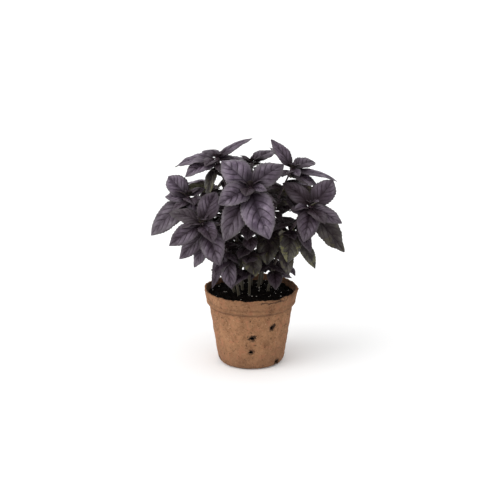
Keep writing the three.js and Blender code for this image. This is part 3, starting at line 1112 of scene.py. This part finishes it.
def pulp_colours(finish, place, cloud, felt, rust):
    """Browns of the dry pulp, with its fibres, flecks and pits, the pits darker as painted shade; also gives
    the relief of the grain.
    """
    fibres = finish.grain(finish.stretched(place, (1, 1, 3.2)), 0.0042, 4, 0.7, 2.4)
    fleck = finish.grain(place, 0.0017, 2, 0.5)
    shaded_pit = 1 - finish.cells(place, 0.0052).step(0.03, 0.2)
    speck = finish.grain(place, 0.0036, 2, 0.6, 1.0)
    brown = finish.mix(cloud.step(0.3, 0.7), paint(104, 69, 45), paint(148, 107, 76))
    brown = finish.mix(felt.step(0.32, 0.7) * 0.6, brown, paint(160, 122, 91))
    brown = finish.mix(rust.step(0.5, 0.68) * 0.6, brown, paint(154, 102, 76))
    brown = finish.mix(fibres.step(0.55, 0.78) * 0.5, brown, paint(92, 62, 43))
    # Painted shade in the pits.
    brown = finish.mix(shaded_pit * 0.35, brown, paint(74, 48, 33))
    brown = finish.mix(fleck.step(0.64, 0.72) * 0.85, brown, paint(42, 27, 19))
    brown = finish.mix(speck.step(0.66, 0.71) * 0.9, brown, paint(36, 23, 16))
    brown = finish.mix((1 - fleck.step(0.26, 0.34)) * 0.45, brown, paint(190, 154, 128))
    return brown, 0.5 * felt + 0.35 * fibres - 0.35 * shaded_pit - 0.4 * speck.step(0.62, 0.72)


def collar_colours(finish, place, rust, brown):
    """The collar darker with dirt but paler on its left as painted light, painted shade on the inner wall,
    the mix stuck to the rim and a painted shadow line under a crack in the front.
    """
    x, y, height = finish.parts(place)
    # The band from the collar up is darkened as dirt near the rim, but the collar's left side is kept paler
    # as painted light from the left.
    collar = height.step(LEDGE * MM, LEDGE * MM + 0.002) * (1 - x.step(-0.05, -0.02))
    brown = finish.mix((0.3 - 0.3 * collar) * height.step(0.066, 0.07), brown, paint(78, 52, 36))
    radius = (x * x + y * y) ** 0.5
    # Painted shade on the inner wall above the mix.
    inner_wall_shade = (1 - radius.step(0.0518, 0.0528)) * height.step(0.074, 0.078)
    brown = finish.mix(inner_wall_shade * 0.6, brown, paint(62, 42, 29))
    soil = finish.grain(place, 0.0026, 4, 0.7).step(0.5, 0.6)
    soil = soil * height.step(0.081, 0.09) * (0.25 + 0.6 * x.step(0.005, 0.04))
    brown = finish.mix(soil, brown, paint(38, 26, 19))
    # A painted shadow line under the crack in the front of the lip.
    line = 1 - abs(height - 0.0858 + (rust - 0.5) * 0.006).step(0.0002, 0.0012)
    crease = line * x.step(0.006, 0.016) * (1 - x.step(0.034, 0.044)) * (1 - y.step(-0.03, -0.02))
    return finish.mix(crease * 0.8, brown, paint(44, 29, 20))


def stain_and_shade_colours(finish, place, cloud, felt, brown):
    """The foot darker towards the bottom, a painted shadow line under the collar, the stains round the tears
    and painted shade at the drain slots.
    """
    height = finish.parts(place)[2]
    # The pot is darker towards the foot.
    darker_foot = (1 - (height + 0.02 * cloud).step(0.01, 0.05)) * 0.4
    brown = finish.mix(darker_foot, brown, paint(96, 68, 50))
    # A painted shadow line under the collar, at the ledge.
    painted_ledge_shadow = 1 - abs(height - LEDGE * MM + (felt - 0.5) * 0.002).step(0.0, 0.0016)
    brown = finish.mix(painted_ledge_shadow * 0.45, brown, paint(70, 46, 32))
    # Round the tears and scars the dark is a stain; at the drain slots it is painted shade.
    for heading, tear_height, size in TEARS + SLOTS + SCARS:
        ends = {0: place, 1: tear_middle(heading, tear_height)}
        away = finish.node("ShaderNodeVectorMath", {"operation": "DISTANCE"}, ends, "Value")
        stain_and_slot_shade = 1 - (away + (felt - 0.5) * 0.009).step(0.4 * size * MM, size * MM)
        brown = finish.mix(stain_and_slot_shade * 0.9, brown, paint(30, 19, 13))
    return brown

# %% [markdown]
# ## The pot's finish
# Three patterns of noise are shared by all the layers, so that stains, felt and relief agree.

# %% Pot finish


def fibre_finish():
    finish = Finish("moulded_fibre")
    place = finish.place()
    cloud = finish.grain(finish.stretched(place, (1, 1, 0.6)), 0.016, 4, 0.65)
    felt = finish.grain(place, 0.0024, 5, 0.68, 0.8)
    rust = finish.grain(place, 0.008, 3, 0.6, 0.8)
    brown, relief = pulp_colours(finish, place, cloud, felt, rust)
    brown = collar_colours(finish, place, rust, brown)
    brown = stain_and_shade_colours(finish, place, cloud, felt, brown)
    finish.shader.inputs["Specular IOR Level"].default_value = 0.2
    return finish.surface(
        base_color=brown,
        roughness=0.86 + 0.1 * felt,
        normal=finish.bump(relief, 0.0012, 0.9),
    )


fibre_skin = fibre_finish()

# %% [markdown]
# ## Pot
# The pulp is sucked onto a mesh mould, so the wall is never even: it has soft dents, lumps and
# a ragged lip with loose fibres. The CAD pot already has the true wall, collar and torn holes.
# A copy of it is merged, remeshed into small even faces and made round again, and then noise at
# three sizes moves the points. Modelling dents by hand would take longer and look less chancy.

# %% Mesh helpers


def merged_copy(name, source):
    """A copy of a CAD piece with its loose triangles joined."""
    mesh = nodes[source].data.copy()
    mesh.name = name
    form = bmesh.new()
    form.from_mesh(mesh)
    bmesh.ops.remove_doubles(form, verts=form.verts, dist=1e-6)
    form.to_mesh(mesh)
    form.free()
    mesh.materials.clear()
    made = bpy.data.objects.new(name, mesh)
    scene.collection.objects.link(made)
    return made


def remesh(made, voxel):
    modifier = made.modifiers.new("remesh", "REMESH")
    modifier.mode = "VOXEL"
    modifier.voxel_size = voxel
    grid = bpy.context.evaluated_depsgraph_get()
    mesh = bpy.data.meshes.new_from_object(made.evaluated_get(grid))
    made.modifiers.remove(modifier)
    made.data = mesh


def read_points(mesh):
    points = np.zeros(len(mesh.vertices) * 3)
    mesh.vertices.foreach_get("co", points)
    return points.reshape(-1, 3)


def reshape(mesh, points, material):
    """Moves a mesh's points, and gives it smooth shading and one finish."""
    mesh.vertices.foreach_set("co", points.ravel())
    mesh.update()
    mesh.shade_smooth()
    mesh.materials.clear()
    mesh.materials.append(material)


def lumps(points, size, seed):
    """Noise from -1 to 1 at each point, in lumps about size metres across."""
    shift = Vector((seed * 3.1, seed * 1.7, seed * 2.3))
    return np.array([noise.noise(Vector(point) / size + shift) for point in points])


def rounded(points, sides):
    """Points of a many-sided tube moved out to its true round."""
    angle = np.arctan2(points[:, 1], points[:, 0])
    step = 2 * np.pi / sides
    off = (angle % step) - step / 2
    scale = np.cos(off) / np.cos(step / 2)
    points[:, :2] *= scale[:, None]
    return points


def smooth_mesh(made, times):
    form = bmesh.new()
    form.from_mesh(made.data)
    axes = {"use_axis_x": True, "use_axis_y": True, "use_axis_z": True}
    for _ in range(times):
        bmesh.ops.smooth_vert(form, verts=form.verts, factor=0.5, **axes)
    form.to_mesh(made.data)
    form.free()

# %% [markdown]
# ## The pot's own lumps
# Noise at three sizes pushes the wall in and out, more on the outside than on the inside. The
# collar's lower edge is swollen, the edges of the tears are frayed, and a few spots of the lip
# are bent or worn.

# %% Pot
POT_VOXEL = 0.95 * MM
CAD_POT_SIDES = 48
RIM_RADIUS = 55 * MM
LIP_ZONE = 3.2 * MM  # how far below the rim the lip is ragged
LIP_FAULTS = [  # heading, half width in degrees, drop and outward push in millimetres
    (-52, 7, 1.4, -1.6),
    (-66, 3, -0.5, 0.8),
    (-6, 3, -1.2, 1.8),
    (-172, 5, 0.8, -0.8),
    (96, 8, 1.2, -1.0),
]


def outward(points, normals):
    """1 on the pot's outside, 0 on its inside and its flat faces."""
    radius = np.maximum(np.linalg.norm(points[:, :2], axis=1), 1e-6)
    return ease(0.2, 0.8, (normals[:, :2] * points[:, :2]).sum(axis=1) / radius)


def pulp_push(points, outside):
    """How far each point moves along its normal: lumps, a swollen ledge and frayed tears."""
    push = 0.6 * lumps(points, 26 * MM, 1) + 0.55 * lumps(points, 8 * MM, 2)
    push = push + 0.34 * lumps(points, 3.2 * MM, 3)
    push = push * (0.35 + 0.65 * outside)
    from_ledge = points[:, 2] / MM - LEDGE
    swell = 0.55 * np.exp(-(((from_ledge - 3.2) / 1.3) ** 2))
    crease = 0.5 * np.exp(-((from_ledge / 1.2) ** 2))
    push = push + outside * (swell - crease)
    for heading, height, size in TEARS:
        away = np.linalg.norm(points - np.array(tear_middle(heading, height)), axis=1) / MM
        torn = lumps(points, 2.2 * MM, height)
        push = push + outside * (1.5 * torn - 0.9) * np.exp(-((away / (0.75 * size)) ** 2))
    return push * MM * ease(0, 3 * MM, points[:, 2])


def tear_lip(points, rim):
    """The rim made ragged, with a few spots sunk or pushed in or out."""
    lip = ease(rim - LIP_ZONE, rim, points[:, 2])
    angle = np.arctan2(points[:, 1], points[:, 0])
    hoop = np.stack([np.cos(angle), np.sin(angle), np.zeros_like(angle)], axis=1) * RIM_RADIUS
    ragged = 1.2 * lumps(hoop, 12 * MM, 5) + 1.0 * lumps(hoop, 3.6 * MM, 6) - 0.6
    for heading, wide, drop, push in LIP_FAULTS:
        off = (np.degrees(angle) - heading + 180) % 360 - 180
        near = np.exp(-((off / wide) ** 2))
        ragged = ragged - drop * near
        points[:, :2] *= 1 + (push * MM / RIM_RADIUS) * (near * lip)[:, None]
    points[:, 2] += ragged * MM * lip
    points[:, 2] = np.maximum(points[:, 2], 0)
    return points


def make_pot():
    pot = merged_copy("fibre_pot", "pot")
    remesh(pot, POT_VOXEL)
    smooth_mesh(pot, 2)
    mesh = pot.data
    points = rounded(read_points(mesh), CAD_POT_SIDES)
    normals = np.zeros(len(points) * 3)
    mesh.vertices.foreach_get("normal", normals)
    normals = normals.reshape(-1, 3)
    push = pulp_push(points, outward(points, normals))
    pot_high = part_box("pot")[1]
    reshape(mesh, tear_lip(points + normals * push[:, None], pot_high.z), fibre_skin)
    return pot


pot = make_pot()
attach(pot, "root")
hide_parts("pot")
print("pot:", len(pot.data.polygons), "faces")

# %% [markdown]
# ## Potting mix
# The mix is peat with fine bark: nearly black, in crumbs of every size, with white grains of
# perlite. The body of it is one lumpy closed form. The crumbs and the perlite are scattered on
# its top by a Geometry Nodes tree, because there are far too many to place by hand.

# %% Mix finishes


def mix_finish(name, dark, light, size):
    finish = Finish(name)
    place = finish.place()
    lump = finish.grain(place, size, 5, 0.65)
    skin = finish.mix(lump.step(0.35, 0.7), paint(*dark), paint(*light))
    finish.shader.inputs["Specular IOR Level"].default_value = 0.05
    return finish.surface(
        base_color=skin,
        roughness=0.9 + 0.1 * lump,
        normal=finish.bump(lump, 0.0015, 1.0),
    )


mix_skin = mix_finish("potting_mix", (4, 3, 2), (13, 9, 7), 0.0035)
crumb_skin = mix_finish("crumbs", (4, 3, 2), (26, 17, 12), 0.0022)
perlite_skin = mix_finish("perlite", (120, 114, 106), (206, 202, 196), 0.0015)

# %% [markdown]
# ## The body of the mix
# The CAD mix is a plain round plug. Only its top is seen, so only the top is made lumpy, and it
# shrinks a hair there so that it doesn't cut into the pot's inner wall.

# %% Potting mix
MIX_VOXEL = 1.3 * MM


def make_mix():
    body = merged_copy("mix_body", "potting_mix")
    remesh(body, MIX_VOXEL)
    mesh = body.data
    points = rounded(read_points(mesh), CAD_POT_SIDES)
    _, mix_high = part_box("potting_mix")
    top = ease(mix_high.z - 2.5 * MM, mix_high.z - 0.4 * MM, points[:, 2])
    rise = 1.6 * lumps(points, 17 * MM, 11) + 1.3 * lumps(points, 6 * MM, 12)
    rise = rise + 0.7 * lumps(points, 2.6 * MM, 13)
    points[:, 2] += rise * MM * top
    points[:, :2] *= 1 - 0.006 * top[:, None]
    reshape(mesh, points, mix_skin)
    return body


mix_body = make_mix()
print("mix:", len(mix_body.data.polygons), "faces")

# %% [markdown]
# ## Crumbs and perlite
# One tree serves both. It picks spots on the faces that look up near the top, puts a small
# ball on each, and turns and stretches every ball by seeded random values, so that none looks
# round. Each ball has few faces, because there are thousands.

# %% Crumbs and perlite


def scatter_tree():
    inputs = {
        "Density": "NodeSocketFloat",
        "Grain": "NodeSocketFloat",
        "Seed": "NodeSocketInt",
        "Material": "NodeSocketMaterial",
    }
    tree, first, last = new_tree("scatter", inputs)
    normal = add_node(tree, "GeometryNodeInputNormal", {}, {})
    upward = add_node(tree, "ShaderNodeSeparateXYZ", {}, {0: normal.outputs[0]})
    spot = add_node(tree, "GeometryNodeInputPosition", {}, {})
    height = add_node(tree, "ShaderNodeSeparateXYZ", {}, {0: spot.outputs[0]})
    _, mix_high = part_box("potting_mix")
    faces_up = {0: upward.outputs["Z"], 1: 0.35}
    level = add_node(tree, "ShaderNodeMath", {"operation": "GREATER_THAN"}, faces_up)
    is_high = {0: height.outputs["Z"], 1: mix_high.z - 4 * MM}
    high = add_node(tree, "ShaderNodeMath", {"operation": "GREATER_THAN"}, is_high)
    both = {0: level.outputs[0], 1: high.outputs[0]}
    top = add_node(tree, "ShaderNodeMath", {"operation": "MULTIPLY"}, both)
    spread = {
        "Mesh": first.outputs["Geometry"],
        "Selection": top.outputs[0],
        "Density": first.outputs["Density"],
        "Seed": first.outputs["Seed"],
    }
    points = add_node(tree, "GeometryNodeDistributePointsOnFaces", {"distribute_method": "RANDOM"}, spread)
    grain_sockets = {"Radius": first.outputs["Grain"], "Subdivisions": 1}
    grain = add_node(tree, "GeometryNodeMeshIcoSphere", {}, grain_sockets)
    random_settings = {"data_type": "FLOAT_VECTOR"}
    turn_sockets = {"Min": (0, 0, 0), "Max": (6.3, 6.3, 6.3), "Seed": first.outputs["Seed"]}
    turn = add_node(tree, "FunctionNodeRandomValue", random_settings, turn_sockets)
    size_sockets = {"Min": (0.35, 0.35, 0.3), "Max": (1.5, 1.2, 1.0), "Seed": 7}
    size = add_node(tree, "FunctionNodeRandomValue", random_settings, size_sockets)
    put = {
        "Points": points.outputs["Points"],
        "Instance": grain.outputs["Mesh"],
        "Rotation": turn.outputs["Value"],
        "Scale": size.outputs["Value"],
    }
    grains = add_node(tree, "GeometryNodeInstanceOnPoints", {}, put)
    return close_tree(tree, last, grains.outputs[0], first.outputs["Material"])


grains_tree = scatter_tree()
crumb_values = {"Density": 190000.0, "Grain": 0.95 * MM, "Seed": 3, "Material": crumb_skin}
perlite_values = {"Density": 9000.0, "Grain": 0.95 * MM, "Seed": 8, "Material": perlite_skin}
crumbs = grow("mix_crumbs", mix_body, grains_tree, crumb_values)
perlite = grow("perlite_grains", mix_body, grains_tree, perlite_values)
for piece in (mix_body, crumbs, perlite):
    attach(piece, "root")
    print(piece.name, len(piece.data.polygons), "faces")
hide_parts("potting_mix")
